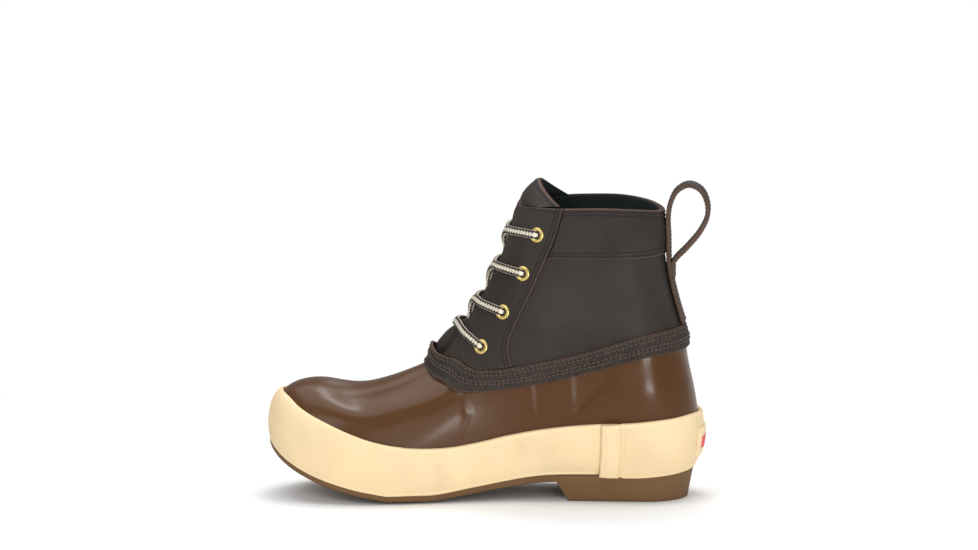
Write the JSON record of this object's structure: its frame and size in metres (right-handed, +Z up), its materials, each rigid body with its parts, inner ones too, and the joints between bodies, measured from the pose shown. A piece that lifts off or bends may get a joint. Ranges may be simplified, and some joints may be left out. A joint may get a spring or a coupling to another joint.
{
  "type": "lace-up boot",
  "caption": "Ankle-high right boot: hollow leather shaft with laces over a moulded rubber lower, wrapped sole bands, heeled outsole and a pull loop.",
  "frame": {"origin": "on the floor, at the middle of the flat tread under the heel", "axes": "+X from the toe to the heel, +Y to the outer side of the foot, +Z up"},
  "size_m": [0.3093, 0.1122, 0.2234],
  "materials": {
    "sole_rubber": "matt moulded rubber",
    "insole_felt": "brushed cloth over foam",
    "brown_rubber": "smooth, satin to glossy",
    "cream_rubber": "matt with a fine weave print",
    "shaft_leather": "oiled, matt",
    "trim_leather": "oiled, raw edges",
    "tongue_leather": "oiled, matt",
    "eyelet_brass": "satin",
    "lace_cord": "woven, matt"
  },
  "bodies": {
    "root": {"outsole": "sole_rubber", "insole": "insole_felt", "rubber_lower": "brown_rubber", "toe_band": "cream_rubber", "heel_band": "cream_rubber", "heel_plate": "cream_rubber", "leather_upper": "shaft_leather", "rand": "trim_leather", "eyestay_inner": "shaft_leather", "eyestay_outer": "shaft_leather", "collar_band": "shaft_leather", "tongue": "tongue_leather", "pull_loop": "trim_leather", "eyelet_inner_1": "eyelet_brass", "eyelet_inner_2": "eyelet_brass", "eyelet_inner_3": "eyelet_brass", "eyelet_inner_4": "eyelet_brass", "eyelet_outer_1": "eyelet_brass", "eyelet_outer_2": "eyelet_brass", "eyelet_outer_3": "eyelet_brass", "eyelet_outer_4": "eyelet_brass", "lace_bar": "lace_cord", "lace_cross_1": "lace_cord", "lace_cross_2": "lace_cord", "lace_cross_3": "lace_cord"}
  },
  "joints": []
}
